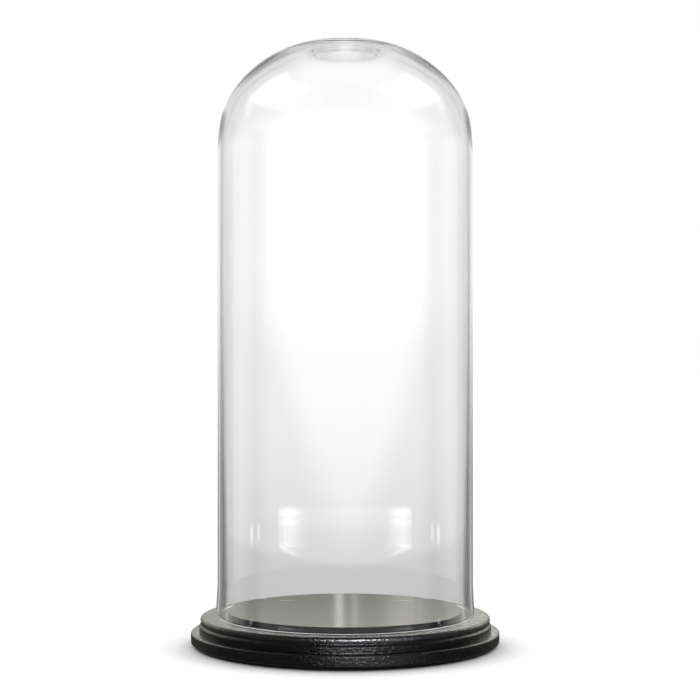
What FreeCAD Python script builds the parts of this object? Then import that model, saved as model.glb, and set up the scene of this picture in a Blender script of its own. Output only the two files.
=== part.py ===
"""A glass bell jar dome standing on a round two-tier base of black painted wood.

Everything is in millimetres. +Z is up, the origin is on the floor under the middle of the base,
and every turned piece shares the Z axis. From the floor up the base is four felt foot pads, the
lower tier, the upper tier and the display disc. The dome stands on the upper tier, around the disc.
"""

import FreeCAD
import Part

import math
import os

# ---- Driving dimensions ----

PAD_RADIUS = 10.0
PAD_THICKNESS = 2.0
PAD_EDGE_ROUND = 0.5
PAD_RING_RADIUS = 108.0  # where the pads stand, measured from the axis
PAD_COUNT = 4

LOWER_RADIUS = 132.0
LOWER_THICKNESS = 10.0
LOWER_TOP_ROUND = 1.6
LOWER_BOTTOM_ROUND = 2.0

UPPER_RADIUS = 124.9  # the foot, where this tier is widest
UPPER_THICKNESS = 13.0
LIP_RADIUS = 123.9  # the rounded lip round the top
LIP_ROUND = 2.9
LIP_TURN_UNDER = 30.0  # degrees that the lip's round goes on below level
NECK_RADIUS = 122.6  # pulls the side in under the lip before it swells to the foot
NECK_HEIGHT = 2.2  # where it pulls, below the lip's end
SWELL_TOP = 6.1  # height of the swell's pull above the tier's underside
UPPER_FOOT_HEIGHT = 4.6  # the plain band at the foot

SPIGOT_RADIUS = 75.0  # turned under the upper tier, it centres the two tiers on each other
SPIGOT_DEPTH = 1.5
SPIGOT_CLEARANCE = 0.1

DISC_RADIUS = 100.4
DISC_PROUD = 4.4  # how far the display disc stands above the ledge around it
DISC_SUNK = 3.6  # how far it is let into the upper tier
DISC_EDGE_ROUND = 0.5
DISC_CLEARANCE = 0.1

DOME_HEIGHT = 493.5
DOME_RADIUS = 109.3  # outside of the straight wall
DOME_WALL = 2.4
DOME_SPRING = 380.5  # height above the rim where the wall begins to close in
OUTSIDE_RATIOS = (0.52, 0.31, 0.968, 0.91)  # the shape of the shoulder, as dome_closing reads it
INSIDE_RATIOS = (0.425, 0.668, 1.008, 0.538)
DOME_CROWN = 8.7  # from the top down to the inside round the button: a blown dome is heaviest there
BUTTON_RADIUS = 27.0  # the shallow flat button inside the crown
BUTTON_DEPTH = 0.7
BUTTON_EDGE = 3.0  # the width of the soft step at the button's edge
RIM_RADIUS = 110.6  # outside of the slightly flared, fire-polished rim
RIM_WALL = 2.6
RIM_FLARE_HEIGHT = 26.0
FLARE_BEND = 2.0  # how far the flare's two soft bends reach along it

BASE_SCREW_COUNT = 4
BASE_SCREW_RING_RADIUS = 88.0
BASE_SCREW_LENGTH = 18.0
BASE_SCREW_MAJOR = 1.75  # thread radius

DISC_SCREW_COUNT = 3
DISC_SCREW_RING_RADIUS = 50.0
DISC_SCREW_LENGTH = 15.0
DISC_SCREW_MAJOR = 1.5

THREAD_PITCH = 1.4
THREAD_CREST = 0.45  # where in each pitch the crest comes, and where the core begins again
THREAD_FOOT = 0.9
PLAIN_SHARE = 0.36  # how much of a screw's length is head and plain shank
HEAD_RIM = 0.3  # the straight edge of a countersunk head
HEAD_RATIO = 2.0  # these ratios are all to the thread radius: countersunk head radius
CORE_RATIO = 0.66  # thread core radius
TIP_RATIO = 2.2  # length of the point
SLOT_REACH = 1.15  # half the length of a slot of the driver's cross, at the head's face
SLOT_FLOOR = 0.4  # half its length at the floor
SLOT_HALF_WIDTH = 0.24
SLOT_DEPTH = 1.1
DRILL_POINT = 0.5  # height of a drilled hole's point over its radius

SCREW_CLEARANCE = 0.04  # between a thread or head and the wood around it
SHANK_CLEARANCE = 0.3  # around the plain shank, in the piece that the screw clamps
OVERCUT = 1.0  # how far a cutter starts outside the face that it cuts

# ---- Levels, from the floor up ----

LOWER_BOTTOM = PAD_THICKNESS
LOWER_TOP = LOWER_BOTTOM + LOWER_THICKNESS
LEDGE = LOWER_TOP + UPPER_THICKNESS  # the flat face that the glass stands on
RECESS_FLOOR = LEDGE - DISC_SUNK
DISC_TOP = LEDGE + DISC_PROUD
SPIGOT_BOTTOM = LOWER_TOP - SPIGOT_DEPTH


# ---- Turning and boring ----


def at(r, z):
    """The point at radius r and height z in the plane that turned outlines are drawn in."""
    return FreeCAD.Vector(r, 0, z)


class Outline:
    """A closed outline of radius against height, drawn edge by edge and then turned about Z."""

    def __init__(self, r, z):
        self.first = self.here = at(r, z)
        self.edges = []

    def line(self, r, z):
        end = at(r, z)
        self.edges.append(Part.makeLine(self.here, end))
        self.here = end
        return self

    def arc(self, through, end):
        """A circular arc to end, passing the point through."""
        self.edges.append(Part.Arc(self.here, at(*through), at(*end)).toShape())
        self.here = at(*end)
        return self

    def round_corner(self, centre, radius, start_deg, end_deg):
        """An arc about centre. Angles are measured from the outward radius, upwards positive."""

        def on_circle(degrees):
            angle = math.radians(degrees)
            return (centre[0] + radius * math.cos(angle), centre[1] + radius * math.sin(angle))

        return self.arc(on_circle((start_deg + end_deg) / 2), on_circle(end_deg))

    def curve(self, *poles):
        """A Bezier curve from here through the given poles."""
        bezier = Part.BezierCurve()
        bezier.setPoles([self.here, *(at(*pole) for pole in poles)])
        self.edges.append(bezier.toShape())
        self.here = at(*poles[-1])
        return self

    def turn(self):
        if not self.here.isEqual(self.first, 1e-9):
            self.line(self.first.x, self.first.z)
        face = Part.Face(Part.Wire(self.edges))
        return face.revolve(FreeCAD.Vector(0, 0, 0), FreeCAD.Vector(0, 0, 1), 360)


def ring_places(count, ring_radius, first_deg):
    """The centres of count things spaced evenly round the axis, as (x, y)."""
    angles = [math.radians(first_deg + 360 * i / count) for i in range(count)]
    return [(ring_radius * math.cos(a), ring_radius * math.sin(a)) for a in angles]


def place(shape, xy, z):
    moved = shape.copy()
    moved.translate(FreeCAD.Vector(xy[0], xy[1], z))
    return moved


# ---- Screws and their holes: each is modelled head down at z = 0, pointing up ----


def head_depth(major):
    """A 90 degree countersunk head is as deep as it is wider than the shank."""
    return major * (HEAD_RATIO - CORE_RATIO)


def thread_outline(major, length):
    """A countersunk wood screw's outline, with its thread turned as rings."""
    core = major * CORE_RATIO
    head = major * HEAD_RATIO
    tip_start = length - major * TIP_RATIO
    z = length * PLAIN_SHARE
    outline = Outline(0, 0).line(head, 0).line(head, HEAD_RIM).line(core, HEAD_RIM + head_depth(major))
    outline.line(core, z)
    while z + THREAD_PITCH <= tip_start:
        outline.line(major, z + THREAD_PITCH * THREAD_CREST).line(core, z + THREAD_PITCH * THREAD_FOOT)
        z += THREAD_PITCH
        outline.line(core, z)
    return outline.line(0, length)


def cross_recess(major):
    """The driver's cross in a screw head: two tapered slots at right angles."""
    reach = major * SLOT_REACH
    floor_reach = major * SLOT_FLOOR
    half_width = major * SLOT_HALF_WIDTH
    depth = major * SLOT_DEPTH
    slot = Part.makePolygon([at(-reach, 0), at(reach, 0), at(floor_reach, depth),
                             at(-floor_reach, depth), at(-reach, 0)])
    blade = Part.Face(slot).extrude(FreeCAD.Vector(0, 2 * half_width, 0))
    blade.translate(FreeCAD.Vector(0, -half_width, 0))
    crossing = blade.copy()
    crossing.rotate(FreeCAD.Vector(0, 0, 0), FreeCAD.Vector(0, 0, 1), 90)
    return blade.fuse(crossing)


def screw(major, length):
    return thread_outline(major, length).turn().cut(cross_recess(major))


def countersunk_hole(major, depth):
    """The hole through the clamped piece: a countersink for the head, then a clearance bore."""
    head = major * HEAD_RATIO + SCREW_CLEARANCE
    bore = major + SHANK_CLEARANCE
    rim = HEAD_RIM + SCREW_CLEARANCE
    outline = Outline(0, -OVERCUT).line(head, -OVERCUT).line(head, rim).line(bore, rim + head - bore)
    return outline.line(bore, depth + OVERCUT).line(0, depth + OVERCUT).turn()


def pilot_hole(major, depth):
    """The blind hole that the thread bites in, with a drilled point."""
    bore = major + SCREW_CLEARANCE
    outline = Outline(0, -OVERCUT).line(bore, -OVERCUT).line(bore, depth)
    return outline.line(0, depth + bore * DRILL_POINT).turn()


# ---- The pieces ----


def dome_closing(radius, top, ratios, end_radius):
    """Bezier poles that close a straight wall of this radius in to end_radius at height top.

    The ratios place the poles between: how far up the second and third stand from the spring to
    the top, then how far out the third and fourth stand from the axis.
    """
    second_up, third_up, third_out, fourth_out = ratios
    spring = LEDGE + DOME_SPRING
    rise = top - spring
    return [
        (radius, spring),
        (radius, spring + second_up * rise),
        (third_out * radius, spring + third_up * rise),
        (fourth_out * radius, top),
        (end_radius, top),
    ]


def glass_dome():
    """One blown piece: straight wall, long rounded shoulder, heavy crown and a polished rim."""
    top = LEDGE + DOME_HEIGHT
    spring = LEDGE + DOME_SPRING
    inner = DOME_RADIUS - DOME_WALL
    inner_top = top - DOME_CROWN
    rim_inner = RIM_RADIUS - RIM_WALL
    rim_round = RIM_WALL / 2
    rim_level = LEDGE + rim_round
    flare_top = LEDGE + RIM_FLARE_HEIGHT
    flare_high = flare_top - FLARE_BEND
    flare_low = rim_level + FLARE_BEND
    button_face = inner_top - BUTTON_DEPTH
    button_inner = BUTTON_RADIUS - BUTTON_EDGE / 2
    button_outer = BUTTON_RADIUS + BUTTON_EDGE / 2
    inside = dome_closing(inner, inner_top, INSIDE_RATIOS, button_outer)
    outline = Outline(RIM_RADIUS, rim_level)
    outline.curve((RIM_RADIUS, flare_low), (DOME_RADIUS, flare_high), (DOME_RADIUS, flare_top))
    outline.line(DOME_RADIUS, spring)
    outline.curve(*dome_closing(DOME_RADIUS, top, OUTSIDE_RATIOS, 0)[1:])
    outline.line(0, button_face).line(button_inner, button_face)
    outline.curve((BUTTON_RADIUS, button_face), (BUTTON_RADIUS, inner_top), (button_outer, inner_top))
    outline.curve(*reversed(inside[:-1]))
    outline.line(inner, flare_top)
    outline.curve((inner, flare_high), (rim_inner, flare_low), (rim_inner, rim_level))
    outline.arc((RIM_RADIUS - rim_round, LEDGE), (RIM_RADIUS, rim_level))
    return outline.turn()


def display_disc():
    """The flat lacquered disc inside the glass that the exhibit stands on."""
    edge = DISC_EDGE_ROUND
    outline = Outline(0, RECESS_FLOOR).line(DISC_RADIUS, RECESS_FLOOR).line(DISC_RADIUS, DISC_TOP - edge)
    outline.round_corner((DISC_RADIUS - edge, DISC_TOP - edge), edge, 0, 90)
    disc = outline.line(0, DISC_TOP).turn()
    bite = DISC_SCREW_LENGTH - (RECESS_FLOOR - SPIGOT_BOTTOM)
    for xy in ring_places(DISC_SCREW_COUNT, DISC_SCREW_RING_RADIUS, 90):
        disc = disc.cut(place(pilot_hole(DISC_SCREW_MAJOR, bite), xy, RECESS_FLOOR))
    return disc


def upper_tier():
    """The turned tier that carries the glass: ledge, disc recess, lip, swelling side and spigot."""
    recess = DISC_RADIUS + DISC_CLEARANCE
    lip_middle = (LIP_RADIUS - LIP_ROUND, LEDGE - LIP_ROUND)
    under = math.radians(LIP_TURN_UNDER)
    lip_end = (lip_middle[0] + LIP_ROUND * math.cos(under), lip_middle[1] - LIP_ROUND * math.sin(under))
    neck = (NECK_RADIUS, lip_end[1] - NECK_HEIGHT)
    outline = Outline(0, SPIGOT_BOTTOM).line(SPIGOT_RADIUS, SPIGOT_BOTTOM)
    outline.line(SPIGOT_RADIUS, LOWER_TOP).line(UPPER_RADIUS, LOWER_TOP)
    outline.line(UPPER_RADIUS, LOWER_TOP + UPPER_FOOT_HEIGHT)
    outline.curve((UPPER_RADIUS, LOWER_TOP + SWELL_TOP), neck, lip_end)
    outline.round_corner(lip_middle, LIP_ROUND, -LIP_TURN_UNDER, 90)
    tier = outline.line(recess, LEDGE).line(recess, RECESS_FLOOR).line(0, RECESS_FLOOR).turn()
    bite = BASE_SCREW_LENGTH - LOWER_THICKNESS
    for xy in ring_places(BASE_SCREW_COUNT, BASE_SCREW_RING_RADIUS, 45):
        tier = tier.cut(place(pilot_hole(BASE_SCREW_MAJOR, bite), xy, LOWER_TOP))
    depth = RECESS_FLOOR - SPIGOT_BOTTOM
    for xy in ring_places(DISC_SCREW_COUNT, DISC_SCREW_RING_RADIUS, 90):
        tier = tier.cut(place(countersunk_hole(DISC_SCREW_MAJOR, depth), xy, SPIGOT_BOTTOM))
    return tier


def lower_tier():
    """The wider tier on the floor side, recessed for the spigot and bored for the base screws."""
    low, high = LOWER_BOTTOM_ROUND, LOWER_TOP_ROUND
    recess = SPIGOT_RADIUS + SPIGOT_CLEARANCE
    recess_floor = SPIGOT_BOTTOM - SPIGOT_CLEARANCE
    outline = Outline(0, LOWER_BOTTOM).line(LOWER_RADIUS - low, LOWER_BOTTOM)
    outline.round_corner((LOWER_RADIUS - low, LOWER_BOTTOM + low), low, -90, 0)
    outline.line(LOWER_RADIUS, LOWER_TOP - high)
    outline.round_corner((LOWER_RADIUS - high, LOWER_TOP - high), high, 0, 90)
    tier = outline.line(recess, LOWER_TOP).line(recess, recess_floor).line(0, recess_floor).turn()
    for xy in ring_places(BASE_SCREW_COUNT, BASE_SCREW_RING_RADIUS, 45):
        hole = countersunk_hole(BASE_SCREW_MAJOR, LOWER_THICKNESS)
        tier = tier.cut(place(hole, xy, LOWER_BOTTOM))
    return tier


def foot_pad():
    """A round stick-on felt pad, rounded on its floor side."""
    edge = PAD_EDGE_ROUND
    outline = Outline(0, 0).line(PAD_RADIUS - edge, 0)
    outline.round_corner((PAD_RADIUS - edge, edge), edge, -90, 0)
    return outline.line(PAD_RADIUS, PAD_THICKNESS).line(0, PAD_THICKNESS).turn()


def numbered(name, shape, places, z):
    """One node for each copy: name_1, name_2 and so on."""
    return {f"{name}_{i}": place(shape, xy, z) for i, xy in enumerate(places, start=1)}


def all_pieces():
    base_screw = screw(BASE_SCREW_MAJOR, BASE_SCREW_LENGTH)
    base_places = ring_places(BASE_SCREW_COUNT, BASE_SCREW_RING_RADIUS, 45)
    disc_screw = screw(DISC_SCREW_MAJOR, DISC_SCREW_LENGTH)
    disc_places = ring_places(DISC_SCREW_COUNT, DISC_SCREW_RING_RADIUS, 90)
    return {
        "glass_dome": glass_dome(),
        "display_disc": display_disc(),
        "upper_tier": upper_tier(),
        "lower_tier": lower_tier(),
        **numbered("base_screw", base_screw, base_places, LOWER_BOTTOM),
        **numbered("disc_screw", disc_screw, disc_places, SPIGOT_BOTTOM),
        **numbered("foot_pad", foot_pad(), ring_places(PAD_COUNT, PAD_RING_RADIUS, 0), 0),
    }


os.makedirs("parts", exist_ok=True)
for node, shape in all_pieces().items():
    shape.exportStep(f"parts/{node}.step")
    box = shape.BoundBox
    print(f"{node}: solids {len(shape.Solids)}, valid {shape.isValid()}, volume {shape.Volume:.0f} mm3, "
          f"z {box.ZMin:.2f} to {box.ZMax:.2f}")
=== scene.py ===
import math

import bpy
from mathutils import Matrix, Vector, noise


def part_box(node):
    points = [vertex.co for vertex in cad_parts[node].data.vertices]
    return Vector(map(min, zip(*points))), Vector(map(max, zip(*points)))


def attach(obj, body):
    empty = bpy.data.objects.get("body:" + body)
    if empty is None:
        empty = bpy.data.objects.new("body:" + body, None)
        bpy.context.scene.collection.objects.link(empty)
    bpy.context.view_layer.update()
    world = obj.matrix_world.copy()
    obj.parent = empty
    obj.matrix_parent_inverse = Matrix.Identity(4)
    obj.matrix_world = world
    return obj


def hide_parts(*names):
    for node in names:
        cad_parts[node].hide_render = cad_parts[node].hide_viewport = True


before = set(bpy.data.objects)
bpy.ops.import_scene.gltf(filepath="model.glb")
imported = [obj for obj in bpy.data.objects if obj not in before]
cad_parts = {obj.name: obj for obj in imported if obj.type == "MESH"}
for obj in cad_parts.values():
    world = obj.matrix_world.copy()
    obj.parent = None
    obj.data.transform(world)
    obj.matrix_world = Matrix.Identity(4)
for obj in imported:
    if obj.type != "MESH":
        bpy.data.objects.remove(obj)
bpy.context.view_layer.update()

MM = 0.001

# ---- Sizes that the frame gives, in metres ----

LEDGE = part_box("glass_dome")[0].z  # the flat face that the glass stands on
DOME_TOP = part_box("glass_dome")[1].z
RIM_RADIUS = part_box("glass_dome")[1].x
LOWER_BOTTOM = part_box("lower_tier")[0].z
LOWER_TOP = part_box("lower_tier")[1].z
LOWER_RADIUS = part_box("lower_tier")[1].x
SPIGOT_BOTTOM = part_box("upper_tier")[0].z
UPPER_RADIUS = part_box("upper_tier")[1].x
DISC_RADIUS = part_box("display_disc")[1].x
RECESS_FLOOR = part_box("display_disc")[0].z

# ---- The shapes between those sizes, as the CAD has them ----

DOME_RADIUS = RIM_RADIUS - 1.3 * MM
DOME_WALL = 2.4 * MM
DOME_STRAIGHT = 380.5 * MM
OUTSIDE_RATIOS = (0.52, 0.31, 0.968, 0.91)
INSIDE_RATIOS = (0.425, 0.668, 1.008, 0.538)
DOME_CROWN = 8.7 * MM
BUTTON_RADIUS = 27 * MM
BUTTON_DEPTH = 0.7 * MM
BUTTON_EDGE = 3 * MM
RIM_WALL = 2.6 * MM
RIM_FLARE = 26 * MM
FLARE_BEND = 2 * MM

LIP_RADIUS = 123.9 * MM
LIP_ROUND = 2.9 * MM
LIP_TURN_UNDER = 30.0
NECK_RADIUS = 122.6 * MM
NECK_HEIGHT = 2.2 * MM
SWELL_TOP = 6.1 * MM
UPPER_FOOT = 4.6 * MM
SPIGOT_RADIUS = 75 * MM
SPIGOT_RECESS_RADIUS = 75.1 * MM
SPIGOT_RECESS_FLOOR = 10.4 * MM
DISC_RECESS_RADIUS = DISC_RADIUS + 0.1 * MM
LOWER_TOP_ROUND = 1.6 * MM
LOWER_BOTTOM_ROUND = 2 * MM

BASE_SCREW_HOLE = (3.54 * MM, 2.05 * MM)  # the radii of the countersink and of the bore through it
DISC_SCREW_HOLE = (3.04 * MM, 1.8 * MM)
COUNTERSINK_RIM = 0.34 * MM
PILOT_RADIUS = 1.79 * MM
PILOT_DEPTH = 8.5 * MM

# ---- How fine and how uneven the visual meshes are ----

GLASS_SEGMENTS = 320
WOOD_SEGMENTS = 1080
HOLE_SEGMENTS = 48
PAD_SEGMENTS = 96
GRAIN = 0.75 * MM  # the spacing of mesh points where the paint's lumps are modelled
PEEL_DEPTH = 0.17 * MM  # small lumps in the paint, and the size of one
PEEL_SIZE = (1.9 * MM, 1.9 * MM, 1.9 * MM)
WAVE_DEPTH = 0.12 * MM  # slow waves under them
WAVE_SIZE = (14 * MM, 14 * MM, 5 * MM)
FELT_DEPTH = 0.12 * MM
FELT_SIZE = (0.7 * MM, 0.7 * MM, 0.7 * MM)
SKIN = 0.1 * MM  # how far from a piece's hidden faces its unevenness starts

# ---- Brightness in the studio, where 1 is the plain white behind the object ----

WALL_FOOT = 0.68  # the backdrop at the table's height
WALL_WAIST = 0.93  # and at the camera's height
WALL_WEDGE = 0.12  # what the wedge of light adds to it
WALL_FADING = 0.16  # the share that it loses towards its sides
WALL_IN_TABLE = 0.1  # the share that it loses where the table mirrors it
WING_LOW, WING_LOW_FAR, WING_HIGH = 0.08, 0.5, 0.84
FLAG_LOW, FLAG_HIGH = 0.2, 0.45
PANEL_LOW, PANEL_HIGH = 0.2, 0.5
FLAG_TOP_LIGHT, PANEL_TOP_LIGHT = 0.33, 0.25
SIDE_WALL = 0.78
ROOM = 0.5
REFLECTOR, ROOM_FLAG, UPPER_ROOM = 0.22, -0.36, 0.38  # what each adds to the room
CEILING_FADING, HIGH_CEILING_FADING = 0.13, 0.16
UNDER_TABLE = 0.68
SOFTBOX, STRIP = 2.2, 0.8
LAMP, LAMP_TUBES, LAMP_EDGE, LAMP_VEIL, SIDE_LAMP = 1.25, 0.9, 1.8, 0.25, 2.2

DIM_FRONT = 0.06  # what the paint mirrors towards the camera, beside the lamps
FRONT_GLOW_LOW, FRONT_GLOW_HIGH = 0.5, 0.3
KEY = 8.5
DISC_WALL, DISC_WALL_UPPER = 0.345, 0.42
WIDE_GAP, NARROW_GAP, BRIGHT_HALF, POST, PAST_POST = 0.75, 0.4, 0.3, -0.25, -0.2
RIGHT_END, FAR_RIGHT_END, LEFT_END, FAR_LEFT_END = 1.7, -1.5, 1.0, -0.8
HIGH_WALL_LEFT, HIGH_WALL_RIGHT, HIGH_WALL_FADING = 1.2, 2.8, 0.7
WALL_UNDER_TABLE = 0.1

FLOOR_FILL, FLOOR_LIGHT, FLOOR_LIGHT_FADING = 0.08, 5.4, 0.85

# ---- The camera ----

LENS = 91.6
CAMERA_PLACE = (4.1 * MM, -1529 * MM, LEDGE + 226.9 * MM)


# ---- Curves, turned meshes and hand-made unevenness ----


def bezier(poles, count):
    """count + 1 points along the Bezier curve with these poles, as (radius, height)."""
    degree = len(poles) - 1
    points = []
    for step in range(count + 1):
        t = step / count
        weights = [math.comb(degree, k) * (1 - t) ** (degree - k) * t**k for k in range(degree + 1)]
        points.append(tuple(sum(w * pole[axis] for w, pole in zip(weights, poles)) for axis in (0, 1)))
    return points


def straight(start, end, count=1):
    """count + 1 points along a straight line, both ends included."""
    return [tuple(a + (b - a) * step / count for a, b in zip(start, end)) for step in range(count + 1)]


def arc(centre, radius, start_deg, end_deg, count):
    """count + 1 points along an arc. Angles are measured from the outward radius, upwards positive."""
    points = []
    for step in range(count + 1):
        angle = math.radians(start_deg + (end_deg - start_deg) * step / count)
        points.append((centre[0] + radius * math.cos(angle), centre[1] + radius * math.sin(angle)))
    return points


def joined(*stretches):
    """One outline from stretches that each start where the one before ends."""
    outline = list(stretches[0])
    for stretch in stretches[1:]:
        outline += stretch[1:]
    return outline


def turned(name, outline, segments):
    """A mesh object made by turning an outline of (radius, height) points about the Z axis."""
    vertices, rings, faces = [], [], []
    for radius, height in outline:
        if radius < 1e-6:
            rings.append([len(vertices)] * segments)
            vertices.append((0, 0, height))
            continue
        rings.append(list(range(len(vertices), len(vertices) + segments)))
        for i in range(segments):
            angle = 2 * math.pi * i / segments
            vertices.append((radius * math.cos(angle), radius * math.sin(angle), height))
    for low, high in zip(rings, rings[1:]):
        for i in range(segments):
            j = (i + 1) % segments
            corners = (low[i], low[j], high[j], high[i])
            faces.append(tuple(dict.fromkeys(corners)))
    mesh = bpy.data.meshes.new(name)
    mesh.from_pydata(vertices, [], faces)
    piece = bpy.data.objects.new(name, mesh)
    bpy.context.scene.collection.objects.link(piece)
    return piece


def smooth(piece, sharp_deg=40):
    piece.data.shade_smooth()
    piece.data.set_sharp_from_angle(angle=math.radians(sharp_deg))


def press_in(piece, depth, wavelength, exposed):
    """Presses exposed points inwards by 0 to depth, in lumps. wavelength is one per axis."""
    scale = Vector(1 / size for size in wavelength)
    normals = [v.normal.copy() for v in piece.data.vertices]
    for vertex, normal in zip(piece.data.vertices, normals):
        if exposed(vertex.co):
            level = min(1.0, max(0.0, 0.5 + noise.noise(vertex.co * scale)))
            vertex.co -= normal * (depth * level)


def cut_away(piece, cutters):
    """Cuts every cutter from the piece, and keeps the result as the piece's own mesh."""
    for cutter in cutters:
        cut = piece.modifiers.new("cut", "BOOLEAN")
        cut.operation = "DIFFERENCE"
        cut.solver = "EXACT"
        cut.object = cutter
    shape = piece.evaluated_get(bpy.context.evaluated_depsgraph_get())
    mesh = bpy.data.meshes.new_from_object(shape)
    piece.modifiers.clear()
    piece.data = mesh
    for cutter in cutters:
        bpy.data.objects.remove(cutter)


# ---- Node trees ----


class Nodes:
    """Short calls for building a node tree."""

    def __init__(self, tree):
        self.tree = tree
        tree.nodes.clear()

    def add(self, kind, inputs=None, **settings):
        node = self.tree.nodes.new(kind)
        for name, value in settings.items():
            setattr(node, name, value)
        for name, value in (inputs or {}).items():
            self.put(node.inputs[name], value)
        return node

    def put(self, socket, value):
        if isinstance(value, bpy.types.NodeSocket):
            self.tree.links.new(value, socket)
        else:
            socket.default_value = value

    def math(self, operation, *values, clamp=False):
        node = self.add("ShaderNodeMath", operation=operation, use_clamp=clamp)
        for socket, value in zip(node.inputs, values):
            self.put(socket, value)
        return node.outputs[0]

    def plus(self, *values):
        total = values[0]
        for value in values[1:]:
            total = self.math("ADD", total, value)
        return total

    def times(self, *values):
        total = values[0]
        for value in values[1:]:
            total = self.math("MULTIPLY", total, value)
        return total

    def rise(self, value, low, high):
        """0 below low, 1 above high, and smooth between them."""
        node = self.add("ShaderNodeMapRange", interpolation_type="SMOOTHSTEP")
        for name, given in (("Value", value), ("From Min", low), ("From Max", high)):
            self.put(node.inputs[name], given)
        return node.outputs["Result"]

    def slope(self, value, low, high, at_low, at_high):
        """at_low below low, at_high above high, and straight between them."""
        node = self.add("ShaderNodeMapRange")
        given = {"Value": value, "From Min": low, "From Max": high, "To Min": at_low, "To Max": at_high}
        for name, number in given.items():
            self.put(node.inputs[name], number)
        return node.outputs["Result"]

    def less(self, value):
        return self.math("SUBTRACT", 1.0, value)

    def band(self, value, low, high, soft):
        """1 between low and high, fading to 0 over soft on both sides."""
        up = self.rise(value, low - soft, low + soft)
        down = self.rise(value, high - soft, high + soft)
        return self.times(up, self.less(down))

    def blend(self, factor, a, b):
        """a where factor is 0, b where it is 1."""
        return self.plus(self.times(self.less(factor), a), self.times(factor, b))

    def mix(self, factor, a, b):
        """A colour: a where factor is 0, b where it is 1."""
        node = self.add("ShaderNodeMix", data_type="RGBA")
        self.put(node.inputs[0], factor)
        self.put(node.inputs[6], a)
        self.put(node.inputs[7], b)
        return node.outputs[2]

    def noise(self, place, scale, detail=2.0, stretch=(1, 1, 1)):
        """Cloudy noise from 0 to 1, scale lumps to the metre."""
        stretched = self.add("ShaderNodeVectorMath", {0: place, 1: stretch}, operation="MULTIPLY").outputs[0]
        clouds = self.add("ShaderNodeTexNoise", {"Vector": stretched, "Scale": scale, "Detail": detail})
        return clouds.outputs["Fac"]

    def bump(self, height, distance, under=None):
        node = self.add("ShaderNodeBump", {"Height": height, "Distance": distance})
        if under is not None:
            self.put(node.inputs["Normal"], under)
        return node.outputs[0]


def new_material(name):
    material = bpy.data.materials.new(name)
    material.use_nodes = True
    return material, Nodes(material.node_tree)


# ---- The studio: the light from each direction, which follows the camera round the object ----


class Directions:
    """Where a ray leaves the studio, in degrees.

    turn is 0 towards the camera and 180 straight ahead of it, the same on both sides.
    off is 180 - turn, and height is above the camera's level. side is off with a sign, and round is
    turn with a sign, both positive to the camera's right. level_turn and level_height are turn and
    height measured from the true horizon, however much the camera tilts.
    """

    def __init__(self, nodes):
        seen = nodes.add("ShaderNodeTexCoord").outputs["Camera"]
        unit = nodes.add("ShaderNodeVectorMath", {0: seen}, operation="NORMALIZE").outputs[0]
        right, up, ahead = nodes.add("ShaderNodeSeparateXYZ", {"Vector": unit}).outputs
        back = nodes.times(ahead, -1.0)
        hand = nodes.math("SIGN", right)
        self.turn = nodes.math("DEGREES", nodes.math("ARCTAN2", nodes.math("ABSOLUTE", right), back))
        self.off = nodes.math("SUBTRACT", 180.0, self.turn)
        self.height = nodes.math("DEGREES", nodes.math("ARCSINE", up))
        self.side = nodes.times(self.off, hand)
        self.round = nodes.times(self.turn, hand)
        self.measure_level(nodes)

    def measure_level(self, nodes):
        world = nodes.add("ShaderNodeTexCoord").outputs["Generated"]
        aim = nodes.add("ShaderNodeVectorTransform", {"Vector": (0, 0, 1)}, vector_type="VECTOR",
                        convert_from="CAMERA", convert_to="WORLD").outputs[0]
        level = nodes.add("ShaderNodeVectorMath", {0: aim, 1: (1, 1, 0)}, operation="MULTIPLY").outputs[0]
        level = nodes.add("ShaderNodeVectorMath", {0: level}, operation="NORMALIZE").outputs[0]
        towards = nodes.add("ShaderNodeVectorMath", {0: world, 1: level}, operation="DOT_PRODUCT")
        ahead = towards.outputs["Value"]
        up = nodes.add("ShaderNodeSeparateXYZ", {"Vector": world}).outputs["Z"]
        along = nodes.plus(nodes.times(up, up), nodes.times(ahead, ahead))
        across = nodes.math("SQRT", nodes.math("SUBTRACT", 1.0, along, clamp=True))
        self.level_turn = nodes.math("DEGREES", nodes.math("ARCTAN2", across, nodes.times(ahead, -1.0)))
        self.level_height = nodes.math("DEGREES", nodes.math("ARCSINE", up))


def backdrop(nodes, to):
    """The lit wall behind the object: bright above, darker towards the table, a wedge of light down it."""
    top = nodes.slope(to.off, 0.0, 6.0, 1.12, 1.03)
    wall = nodes.blend(nodes.rise(to.height, -9.0, -1.0), WALL_FOOT, WALL_WAIST)
    above = nodes.rise(to.height, -1.0, 3.0)
    wall = nodes.plus(wall, nodes.times(above, nodes.math("SUBTRACT", top, WALL_WAIST)))
    wedge_side = nodes.slope(to.height, -7.2, 1.0, 0.1, 3.2)
    wedge = nodes.less(nodes.rise(nodes.math("SUBTRACT", to.off, wedge_side), -0.9, 0.9))
    wall = nodes.plus(wall, nodes.times(wedge, nodes.rise(to.height, -7.6, -4.5), WALL_WEDGE))
    low = nodes.less(nodes.rise(to.height, 3.0, 9.0))
    fading = nodes.times(nodes.slope(to.off, 4.0, 9.0, 0.0, WALL_FADING), low)
    table_edge = nodes.plus(to.height, nodes.times(to.off, -0.14))
    table = nodes.less(nodes.rise(table_edge, -7.1, -6.8))
    return nodes.times(wall, nodes.less(fading), nodes.less(nodes.times(table, WALL_IN_TABLE)))


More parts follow.
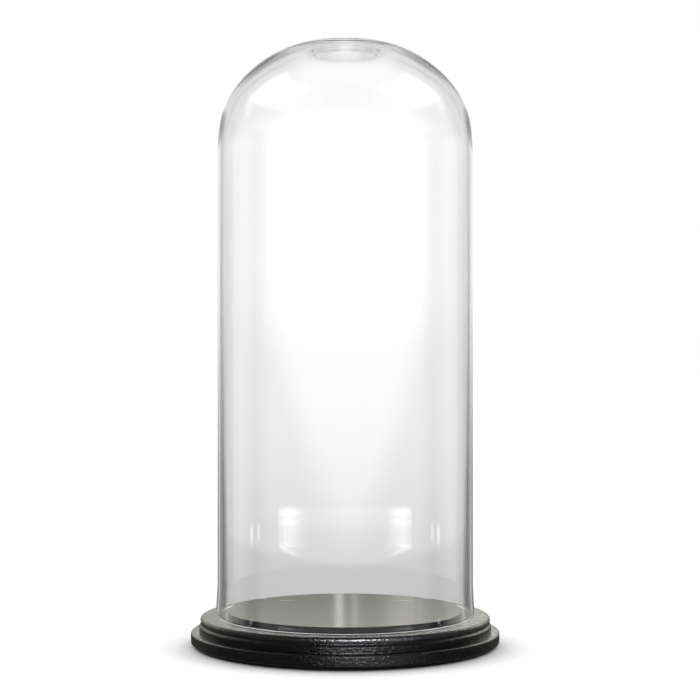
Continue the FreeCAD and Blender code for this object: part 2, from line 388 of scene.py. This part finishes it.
def beside_backdrop(nodes, to):
    """From straight ahead out to the side: backdrop, grey wing, dark flag, panel, side wall."""
    high = nodes.rise(to.height, -5.0, 3.0)
    top_light = nodes.rise(to.height, 9.0, 14.0)
    low_wing = nodes.blend(nodes.rise(to.off, 14.5, 17.5), WING_LOW, WING_LOW_FAR)
    wing = nodes.blend(high, low_wing, WING_HIGH)
    flag = nodes.blend(nodes.rise(to.height, 0.0, 8.0), FLAG_LOW, FLAG_HIGH)
    flag = nodes.plus(flag, nodes.times(top_light, FLAG_TOP_LIGHT))
    panel = nodes.blend(high, PANEL_LOW, PANEL_HIGH)
    panel = nodes.plus(panel, nodes.times(top_light, PANEL_TOP_LIGHT))
    wing_edge = nodes.slope(to.height, -7.4, -3.0, 8.6, 10.8)
    past_edge = nodes.math("SUBTRACT", to.off, wing_edge)
    value = nodes.blend(nodes.rise(past_edge, -1.6, 1.6), backdrop(nodes, to), wing)
    value = nodes.blend(nodes.rise(to.off, 25.0, 29.0), value, flag)
    value = nodes.blend(nodes.rise(to.off, 34.0, 38.0), value, panel)
    return nodes.blend(nodes.rise(to.off, 44.0, 51.0), value, SIDE_WALL)


def low_lamps(nodes, to):
    """Two lamps low behind the camera, cut off below by the table's edge, and a small one at each side."""
    table_edge = nodes.plus(-6.9, nodes.times(to.turn, to.turn, 0.00015))
    over_table = nodes.math("SUBTRACT", to.height, table_edge)
    lamp_end = nodes.less(nodes.rise(to.turn, 60.0, 62.5))
    lamp_top = nodes.less(nodes.rise(to.height, -5.15, -4.95))
    lamp = nodes.times(nodes.rise(to.turn, 34.0, 54.0), lamp_end)
    lamp = nodes.times(lamp, nodes.rise(over_table, -0.05, 0.05), lamp_top)
    tubes = nodes.plus(nodes.band(to.height, -5.3, -5.15, 0.08), nodes.band(to.height, -5.56, -5.45, 0.07))
    edge_glow = nodes.band(over_table, 0.05, 0.15, 0.08)
    glow = nodes.plus(LAMP, nodes.times(tubes, LAMP_TUBES), nodes.times(edge_glow, LAMP_EDGE))
    veil = nodes.times(lamp_end, nodes.band(to.height, -5.7, -5.05, 0.1), LAMP_VEIL)
    side_lamp = nodes.times(nodes.band(to.turn, 90.0, 93.5, 0.8), nodes.band(to.height, -6.15, -5.6, 0.2))
    return nodes.plus(nodes.times(lamp, glow), veil, nodes.times(side_lamp, SIDE_LAMP))


def seen_in_glass(nodes, to):
    """The brightness that clear glass shows: the backdrop behind it and the studio mirrored in it."""
    upper = nodes.rise(to.height, 10.0, 18.0)
    reflector = nodes.band(to.turn, 103.0, 124.0, 5.0)
    flag = nodes.times(nodes.band(to.turn, 80.0, 97.0, 6.0), nodes.less(upper))
    room = nodes.plus(
        ROOM,
        nodes.times(reflector, REFLECTOR),
        nodes.times(flag, ROOM_FLAG),
        nodes.times(upper, UPPER_ROOM),
    )
    around = nodes.blend(nodes.rise(to.turn, 118.0, 134.0), room, beside_backdrop(nodes, to))
    ceiling = nodes.plus(
        nodes.times(nodes.rise(to.height, 8.4, 10.5), CEILING_FADING),
        nodes.times(nodes.rise(to.height, 16.0, 34.0), HIGH_CEILING_FADING),
    )
    around = nodes.times(around, nodes.less(ceiling))
    around = nodes.blend(nodes.rise(to.height, -17.0, -12.5), UNDER_TABLE, around)
    softboxes = nodes.times(nodes.band(to.turn, 50.0, 116.0, 4.0), nodes.band(to.height, 31.0, 58.0, 3.0))
    strips = nodes.times(nodes.band(to.turn, 104.0, 112.0, 2.0), nodes.band(to.height, 23.0, 29.0, 1.5))
    overhead = nodes.plus(nodes.times(softboxes, SOFTBOX), nodes.times(strips, STRIP))
    return nodes.plus(around, overhead, low_lamps(nodes, to))


def wall_behind_disc(nodes, to):
    """The low wall that the flat disc mirrors, with two bright gaps, a brighter half and a dark post."""
    wide_gap = nodes.band(to.side, -0.5, -0.24, 0.08)
    narrow_gap = nodes.band(to.side, 0.12, 0.28, 0.08)
    bright_half = nodes.rise(to.side, 0.9, 2.0)
    post = nodes.band(to.side, 2.48, 2.6, 0.07)
    past_post = nodes.rise(to.side, 2.72, 2.8)
    upper = nodes.rise(to.height, 8.2, 9.0)
    return nodes.plus(
        DISC_WALL,
        nodes.times(wide_gap, WIDE_GAP),
        nodes.times(narrow_gap, NARROW_GAP),
        nodes.times(bright_half, BRIGHT_HALF),
        nodes.times(post, POST),
        nodes.times(past_post, PAST_POST),
        nodes.times(upper, DISC_WALL_UPPER),
    )


def wall_behind_ledges(nodes, to):
    """What that wall is brighter by past the disc, where only the ends of the ledges mirror it."""
    right = nodes.rise(to.side, 3.0, 4.4)
    far_right = nodes.rise(to.side, 4.64, 4.74)
    left = nodes.less(nodes.rise(to.side, -4.6, -3.3))
    far_left = nodes.less(nodes.rise(to.side, -4.74, -4.64))
    return nodes.plus(
        nodes.times(right, RIGHT_END),
        nodes.times(far_right, FAR_RIGHT_END),
        nodes.times(left, LEFT_END),
        nodes.times(far_left, FAR_LEFT_END),
    )


def seen_in_paint(nodes, to, depth):
    """The brightness that the painted and lacquered wood mirrors.

    What lies behind the camera only shows in the outside of the base, which is seen without the glass.
    """
    outside = nodes.less(nodes.rise(depth, 2.4, 2.6))
    glow = nodes.blend(nodes.rise(to.height, -6.0, 2.0), FRONT_GLOW_LOW, FRONT_GLOW_HIGH)
    front = nodes.plus(DIM_FRONT, nodes.times(nodes.band(to.round, -13.0, 54.0, 9.0), outside, glow))
    key = nodes.times(nodes.band(to.round, -8.0, 22.0, 7.0), nodes.band(to.height, 4.0, 26.0, 5.0))
    front = nodes.plus(front, nodes.times(key, outside, KEY))
    low_wall = nodes.plus(wall_behind_disc(nodes, to), nodes.times(wall_behind_ledges(nodes, to), outside))
    fading = nodes.times(nodes.rise(to.height, 28.0, 42.0), HIGH_WALL_FADING)
    high_wall = nodes.slope(to.side, -50.0, 50.0, HIGH_WALL_LEFT, HIGH_WALL_RIGHT)
    high_wall = nodes.times(high_wall, nodes.less(fading))
    wall = nodes.blend(nodes.rise(to.height, 11.0, 22.0), low_wall, high_wall)
    wall = nodes.blend(nodes.rise(to.height, -4.0, 2.0), WALL_UNDER_TABLE, wall)
    return nodes.blend(nodes.rise(to.turn, 105.0, 150.0), front, wall)


def falling_on_floor(nodes, to):
    """The brightness that lights matt surfaces: high at the back, so that the shadow falls forwards."""
    back = nodes.times(nodes.rise(to.level_turn, 65.0, 120.0), nodes.rise(to.level_height, 18.0, 32.0))
    fading = nodes.times(nodes.rise(to.level_height, 38.0, 58.0), FLOOR_LIGHT_FADING)
    return nodes.plus(FLOOR_FILL, nodes.times(back, nodes.less(fading), FLOOR_LIGHT))


def light_studio():
    world = bpy.data.worlds.new("studio")
    world.use_nodes = True
    nodes = Nodes(world.node_tree)
    to = Directions(nodes)
    path = nodes.add("ShaderNodeLightPath").outputs
    in_paint = seen_in_paint(nodes, to, path["Ray Depth"])
    strength = nodes.blend(path["Is Glossy Ray"], falling_on_floor(nodes, to), in_paint)
    strength = nodes.blend(path["Is Singular Ray"], strength, seen_in_glass(nodes, to))
    strength = nodes.blend(path["Is Camera Ray"], strength, 1.0)
    cool, olive = (0.95, 0.96, 1.0, 1), (1.0, 1.0, 0.9, 1)
    tint = nodes.mix(nodes.rise(to.turn, 40.0, 90.0), cool, olive)
    to_paint = nodes.times(path["Is Glossy Ray"], nodes.less(path["Is Singular Ray"]))
    colour = nodes.mix(to_paint, (1, 1, 1, 1), tint)
    sky = nodes.add("ShaderNodeBackground", {"Color": colour, "Strength": strength})
    nodes.add("ShaderNodeOutputWorld", {"Surface": sky.outputs[0]})
    bpy.context.scene.world = world


def floor_material():
    """Matt to the eye, but not seen in glass or paint, which mirror the studio's own table."""
    material, nodes = new_material("pale_floor")
    path = nodes.add("ShaderNodeLightPath").outputs
    mirrored = nodes.math("MAXIMUM", path["Is Singular Ray"], path["Is Glossy Ray"])
    matt = nodes.add("ShaderNodeBsdfDiffuse", {"Color": (0.85, 0.85, 0.85, 1)})
    clear = nodes.add("ShaderNodeBsdfTransparent")
    mixed = nodes.add("ShaderNodeMixShader", {0: mirrored, 1: matt.outputs[0], 2: clear.outputs[0]})
    nodes.add("ShaderNodeOutputMaterial", {"Surface": mixed.outputs[0]})
    return material


def lay_floor():
    bpy.ops.mesh.primitive_plane_add(size=30.0)
    floor = bpy.context.object
    floor.name = "floor"
    floor.data.materials.append(floor_material())


# ---- Materials ----


def glass_material():
    """Clear glass for the eye, and nearly clear air for the light that reaches the base and the floor."""
    material, nodes = new_material("clear_glass")
    path = nodes.add("ShaderNodeLightPath").outputs
    seen = nodes.math("MAXIMUM", path["Is Camera Ray"], path["Is Singular Ray"])
    place = nodes.add("ShaderNodeTexCoord").outputs["Object"]
    draw_lines = nodes.noise(place, 26.0, 1.0, stretch=(1, 1, 0.08))
    wavy = nodes.bump(draw_lines, 0.00012)
    glass = nodes.add("ShaderNodeBsdfGlass", {
        "Color": (1, 1, 1, 1), "Roughness": 0.0, "IOR": 1.5, "Normal": wavy})
    air = nodes.add("ShaderNodeBsdfTransparent", {"Color": (0.995, 0.995, 0.995, 1)})
    mixed = nodes.add("ShaderNodeMixShader", {0: seen, 1: air.outputs[0], 2: glass.outputs[0]})
    nodes.add("ShaderNodeOutputMaterial", {"Surface": mixed.outputs[0]})
    return material


def near_edge(nodes, place, radius, height, reach):
    """1 on the circle at this radius and height, fading to 0 at reach from it."""
    x, y, z = nodes.add("ShaderNodeSeparateXYZ", {"Vector": place}).outputs
    from_axis = nodes.math("SQRT", nodes.plus(nodes.times(x, x), nodes.times(y, y)))
    across = nodes.math("SUBTRACT", from_axis, radius)
    along = nodes.math("SUBTRACT", z, height)
    distance = nodes.math("SQRT", nodes.plus(nodes.times(across, across), nodes.times(along, along)))
    return nodes.less(nodes.rise(distance, 0.3 * reach, reach))


def paint_material(name, edge_radius, edge_height, shine):
    """Black satin paint with an orange-peel skin, rubbed thin in places and shiny along one edge."""
    material, nodes = new_material(name)
    place = nodes.add("ShaderNodeTexCoord").outputs["Object"]
    edge = near_edge(nodes, place, edge_radius, edge_height, 2.2 * MM)
    rubbed = nodes.times(edge, nodes.rise(nodes.noise(place, 55.0), 0.5, 0.7))
    worn = nodes.times(rubbed, nodes.rise(nodes.noise(place, 420.0, 4.0), 0.56, 0.66))
    clouds = nodes.noise(place, 35.0, 4.0)
    black = nodes.mix(clouds, (0.006, 0.006, 0.0072, 1), (0.0125, 0.012, 0.013, 1))
    colour = nodes.mix(worn, black, (0.085, 0.05, 0.034, 1))
    gloss = nodes.slope(nodes.noise(place, 90.0, 3.0), 0.3, 0.7, 0.16, 0.26)
    gloss = nodes.plus(gloss, nodes.times(rubbed, -0.06), nodes.times(worn, 0.25))
    peel = nodes.bump(nodes.noise(place, 430.0, 1.0), 0.0004)
    skin = nodes.bump(nodes.noise(place, 1100.0, 2.0), 0.00018, peel)
    paint = nodes.add("ShaderNodeBsdfPrincipled", {
        "Base Color": colour, "Roughness": gloss, "Normal": skin, "Coat Weight": nodes.times(edge, shine),
        "Coat Roughness": 0.14, "Coat IOR": 2.4, "Coat Normal": skin})
    nodes.add("ShaderNodeOutputMaterial", {"Surface": paint.outputs[0]})
    return material


def lacquer_material():
    """Smooth black lacquer, wiped on in one direction, with a trace of dust."""
    material, nodes = new_material("disc_lacquer")
    place = nodes.add("ShaderNodeTexCoord").outputs["Object"]
    clouds = nodes.noise(place, 18.0, 3.0)
    black = nodes.mix(clouds, (0.012, 0.012, 0.0115, 1), (0.02, 0.02, 0.019, 1))
    dust = nodes.rise(nodes.noise(place, 1400.0, 1.0), 0.72, 0.8)
    colour = nodes.mix(nodes.times(dust, 0.3), black, (0.25, 0.25, 0.24, 1))
    wiped = nodes.noise(place, 260.0, 3.0, stretch=(0.12, 1, 1))
    gloss = nodes.plus(0.05, nodes.times(wiped, 0.05), nodes.times(dust, 0.2))
    ripple = nodes.bump(wiped, 0.00004)
    lacquer = nodes.add("ShaderNodeBsdfPrincipled", {
        "Base Color": colour, "Roughness": gloss, "Specular IOR Level": 0.5, "Normal": ripple})
    nodes.add("ShaderNodeOutputMaterial", {"Surface": lacquer.outputs[0]})
    return material


def steel_material():
    """Zinc-plated steel, spun and slightly blotched."""
    material, nodes = new_material("screw_steel")
    place = nodes.add("ShaderNodeTexCoord").outputs["Object"]
    blotch = nodes.noise(place, 700.0, 3.0)
    colour = nodes.mix(blotch, (0.5, 0.49, 0.45, 1), (0.68, 0.67, 0.64, 1))
    spun = nodes.noise(place, 900.0, 2.0, stretch=(1, 1, 6))
    gloss = nodes.slope(spun, 0.3, 0.7, 0.22, 0.42)
    scratched = nodes.bump(spun, 0.00002)
    steel = nodes.add("ShaderNodeBsdfPrincipled", {
        "Base Color": colour, "Metallic": 1.0, "Roughness": gloss, "Normal": scratched})
    nodes.add("ShaderNodeOutputMaterial", {"Surface": steel.outputs[0]})
    return material


def felt_material():
    """Black pressed felt: tangled fibres over a dull ground."""
    material, nodes = new_material("pad_felt")
    place = nodes.add("ShaderNodeTexCoord").outputs["Object"]
    fibres = nodes.noise(place, 2600.0, 5.0, stretch=(1, 0.4, 1))
    colour = nodes.mix(fibres, (0.012, 0.012, 0.012, 1), (0.045, 0.044, 0.043, 1))
    tangled = nodes.bump(fibres, 0.0002)
    felt = nodes.add("ShaderNodeBsdfPrincipled", {
        "Base Color": colour, "Roughness": 0.95, "Sheen Weight": 0.4, "Normal": tangled})
    nodes.add("ShaderNodeOutputMaterial", {"Surface": felt.outputs[0]})
    return material


# ---- Pieces ----


def dome_closing(radius, top, ratios, end_radius):
    """Bezier poles that close a straight wall of this radius in to end_radius at height top."""
    second_up, third_up, third_out, fourth_out = ratios
    spring = LEDGE + DOME_STRAIGHT
    rise = top - spring
    return [
        (radius, spring),
        (radius, spring + second_up * rise),
        (third_out * radius, spring + third_up * rise),
        (fourth_out * radius, top),
        (end_radius, top),
    ]


def glass_outline():
    inner = DOME_RADIUS - DOME_WALL
    spring = LEDGE + DOME_STRAIGHT
    inner_top = DOME_TOP - DOME_CROWN
    button_face = inner_top - BUTTON_DEPTH
    button_in, button_out = BUTTON_RADIUS - BUTTON_EDGE / 2, BUTTON_RADIUS + BUTTON_EDGE / 2
    rim_round = RIM_WALL / 2
    rim_level = LEDGE + rim_round
    rim_inner = RIM_RADIUS - RIM_WALL
    flared = LEDGE + RIM_FLARE
    high, low = flared - FLARE_BEND, rim_level + FLARE_BEND
    step = [(button_in, button_face), (BUTTON_RADIUS, button_face), (BUTTON_RADIUS, inner_top),
            (button_out, inner_top)]
    inside = dome_closing(inner, inner_top, INSIDE_RATIOS, button_out)
    flare_in = [(inner, flared), (inner, high), (rim_inner, low), (rim_inner, rim_level)]
    flare_out = [(RIM_RADIUS, rim_level), (RIM_RADIUS, low), (DOME_RADIUS, high), (DOME_RADIUS, flared)]
    outside = dome_closing(DOME_RADIUS, DOME_TOP, OUTSIDE_RATIOS, 0)
    return joined(
        straight((0, button_face), (button_in, button_face), 4),
        bezier(step, 14),
        list(reversed(bezier(inside, 90))),
        straight((inner, spring), (inner, flared), 60),
        bezier(flare_in, 16),
        arc((RIM_RADIUS - rim_round, rim_level), rim_round, 180, 360, 16),
        bezier(flare_out, 16),
        straight((DOME_RADIUS, flared), (DOME_RADIUS, spring), 60),
        bezier(outside, 90),
    )


def blow_dome():
    dome = turned("glass_dome_blown", glass_outline(), GLASS_SEGMENTS)
    smooth(dome)
    dome.data.materials.append(glass_material())
    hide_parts("glass_dome")
    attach(dome, "dome")


def along(start, end):
    """A straight stretch with points close enough to model the paint's lumps."""
    return straight(start, end, max(1, round(math.dist(start, end) / GRAIN)))


def upper_outline():
    lip_middle = (LIP_RADIUS - LIP_ROUND, LEDGE - LIP_ROUND)
    lip = arc(lip_middle, LIP_ROUND, -LIP_TURN_UNDER, 90, 9)
    foot_top = (UPPER_RADIUS, LOWER_TOP + UPPER_FOOT)
    swell = [foot_top, (UPPER_RADIUS, LOWER_TOP + SWELL_TOP), (NECK_RADIUS, lip[0][1] - NECK_HEIGHT), lip[0]]
    return joined(
        straight((0, SPIGOT_BOTTOM), (SPIGOT_RADIUS, SPIGOT_BOTTOM)),
        straight((SPIGOT_RADIUS, SPIGOT_BOTTOM), (SPIGOT_RADIUS, LOWER_TOP)),
        straight((SPIGOT_RADIUS, LOWER_TOP), (UPPER_RADIUS, LOWER_TOP)),
        along((UPPER_RADIUS, LOWER_TOP), foot_top),
        bezier(swell, 9),
        lip,
        along((lip_middle[0], LEDGE), (DISC_RECESS_RADIUS, LEDGE)),
        straight((DISC_RECESS_RADIUS, LEDGE), (DISC_RECESS_RADIUS, RECESS_FLOOR)),
        straight((DISC_RECESS_RADIUS, RECESS_FLOOR), (0, RECESS_FLOOR)),
    )


def lower_outline():
    low, high = LOWER_BOTTOM_ROUND, LOWER_TOP_ROUND
    bottom_middle = (LOWER_RADIUS - low, LOWER_BOTTOM + low)
    top_middle = (LOWER_RADIUS - high, LOWER_TOP - high)
    return joined(
        straight((0, LOWER_BOTTOM), (bottom_middle[0], LOWER_BOTTOM)),
        arc(bottom_middle, low, -90, 0, 5),
        along((LOWER_RADIUS, bottom_middle[1]), (LOWER_RADIUS, top_middle[1])),
        arc(top_middle, high, 0, 90, 5),
        along((top_middle[0], LOWER_TOP), (UPPER_RADIUS - GRAIN, LOWER_TOP)),
        straight((UPPER_RADIUS - GRAIN, LOWER_TOP), (SPIGOT_RECESS_RADIUS, LOWER_TOP)),
        straight((SPIGOT_RECESS_RADIUS, LOWER_TOP), (SPIGOT_RECESS_RADIUS, SPIGOT_RECESS_FLOOR)),
        straight((SPIGOT_RECESS_RADIUS, SPIGOT_RECESS_FLOOR), (0, SPIGOT_RECESS_FLOOR)),
    )


def paint_lumps(piece, exposed):
    """The uneven skin of brushed paint: orange peel, and slow waves under it."""
    press_in(piece, PEEL_DEPTH, PEEL_SIZE, exposed)
    press_in(piece, WAVE_DEPTH, WAVE_SIZE, exposed)


def hole_round(screw, outline):
    """A cutter with this outline about the axis of one screw of the frame."""
    low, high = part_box(screw)
    cutter = turned(f"{screw}_hole", outline, HOLE_SEGMENTS)
    for vertex in cutter.data.vertices:
        vertex.co += Vector(((low.x + high.x) / 2, (low.y + high.y) / 2, 0))
    return cutter


def screw_hole(screw, radii, start, end):
    """A cutter for a hole that goes right through, countersunk at its start."""
    head_radius, bore_radius = radii
    rim = start + COUNTERSINK_RIM
    sunk = rim + head_radius - bore_radius
    return hole_round(screw, [
        (0, start - MM), (head_radius, start - MM), (head_radius, rim),
        (bore_radius, sunk), (bore_radius, end), (0, end)])


def pilot_hole(screw, start, end):
    """A cutter for the blind hole that one screw's thread bites in."""
    return hole_round(screw, [(0, start - MM), (PILOT_RADIUS, start - MM), (PILOT_RADIUS, end), (0, end)])


def turn_upper_tier():
    tier = turned("upper_tier_painted", upper_outline(), WOOD_SEGMENTS)

    def exposed(place):
        return place.z > LOWER_TOP + SKIN and place.xy.length > DISC_RECESS_RADIUS + SKIN

    paint_lumps(tier, exposed)
    cutters = [
        screw_hole(f"disc_screw_{i}", DISC_SCREW_HOLE, SPIGOT_BOTTOM, RECESS_FLOOR + MM) for i in (1, 2, 3)]
    cutters += [pilot_hole(f"base_screw_{i}", LOWER_TOP, LOWER_TOP + PILOT_DEPTH) for i in (1, 2, 3, 4)]
    cut_away(tier, cutters)
    finish_tier(tier, "upper_tier", paint_material("upper_tier_paint", LIP_RADIUS, LEDGE - LIP_ROUND, 1.0))


def turn_lower_tier():
    tier = turned("lower_tier_painted", lower_outline(), WOOD_SEGMENTS)

    def exposed(place):
        return place.z > LOWER_BOTTOM + SKIN and place.xy.length > UPPER_RADIUS - GRAIN / 2

    paint_lumps(tier, exposed)
    cut_away(tier, [
        screw_hole(f"base_screw_{i}", BASE_SCREW_HOLE, LOWER_BOTTOM, LOWER_TOP + MM) for i in (1, 2, 3, 4)])
    finish_tier(tier, "lower_tier", paint_material("lower_tier_paint", LOWER_RADIUS, LOWER_TOP, 0.0))


def finish_tier(tier, node, paint):
    smooth(tier)
    tier.data.materials.clear()
    tier.data.materials.append(paint)
    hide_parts(node)
    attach(tier, "base")


def pad_outline(radius, thick):
    """A pad's outline from the middle of its underside, round its soft edge, to its glued face."""
    edge = 0.3 * thick
    glued = radius - 0.2 * edge
    return joined(
        straight((0, 0), (radius - edge, 0), 14),
        arc((radius - edge, edge), edge, -90, 0, 5),
        straight((radius, edge), (glued, thick), 4),
        straight((glued, thick), (0, thick), 3),
    )


def press_pads():
    """Felt pads: a soft-edged disc in place of each plain one, with a fibrous skin."""
    felt = felt_material()
    for i in (1, 2, 3, 4):
        low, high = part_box(f"foot_pad_{i}")
        middle = (low + high) / 2
        thick = high.z - low.z
        pad = turned(f"foot_pad_{i}_felt", pad_outline((high.x - low.x) / 2, thick), PAD_SEGMENTS)
        press_in(pad, FELT_DEPTH, FELT_SIZE, lambda place: place.z < thick - SKIN / 2)
        for vertex in pad.data.vertices:
            vertex.co += Vector((middle.x, middle.y, low.z))
        smooth(pad)
        pad.data.materials.append(felt)
        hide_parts(f"foot_pad_{i}")
        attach(pad, "base")


def finish_cad_nodes():
    """The display disc and the screws keep their CAD shape, and get their materials here."""
    lacquer = lacquer_material()
    steel = steel_material()
    for name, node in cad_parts.items():
        material = lacquer if name == "display_disc" else steel if "screw" in name else None
        if material is None:
            continue
        for slot in node.material_slots:
            slot.material = material


# ---- The camera and the render's limits ----


def place_camera():
    lens = bpy.data.cameras.new("camera")
    lens.sensor_width = 36
    lens.lens = LENS
    camera = bpy.data.objects.new("camera", lens)
    camera.location = CAMERA_PLACE
    camera.rotation_euler = (math.radians(90), 0, 0)
    bpy.context.scene.collection.objects.link(camera)
    bpy.context.scene.camera = camera


def set_rendering():
    scene = bpy.context.scene
    scene.view_settings.view_transform = "Standard"
    scene.cycles.max_bounces = 24
    scene.cycles.transmission_bounces = 24
    scene.cycles.glossy_bounces = 12
    scene.cycles.transparent_max_bounces = 16


blow_dome()
turn_upper_tier()
turn_lower_tier()
press_pads()
finish_cad_nodes()
lay_floor()
light_studio()
place_camera()
set_rendering()
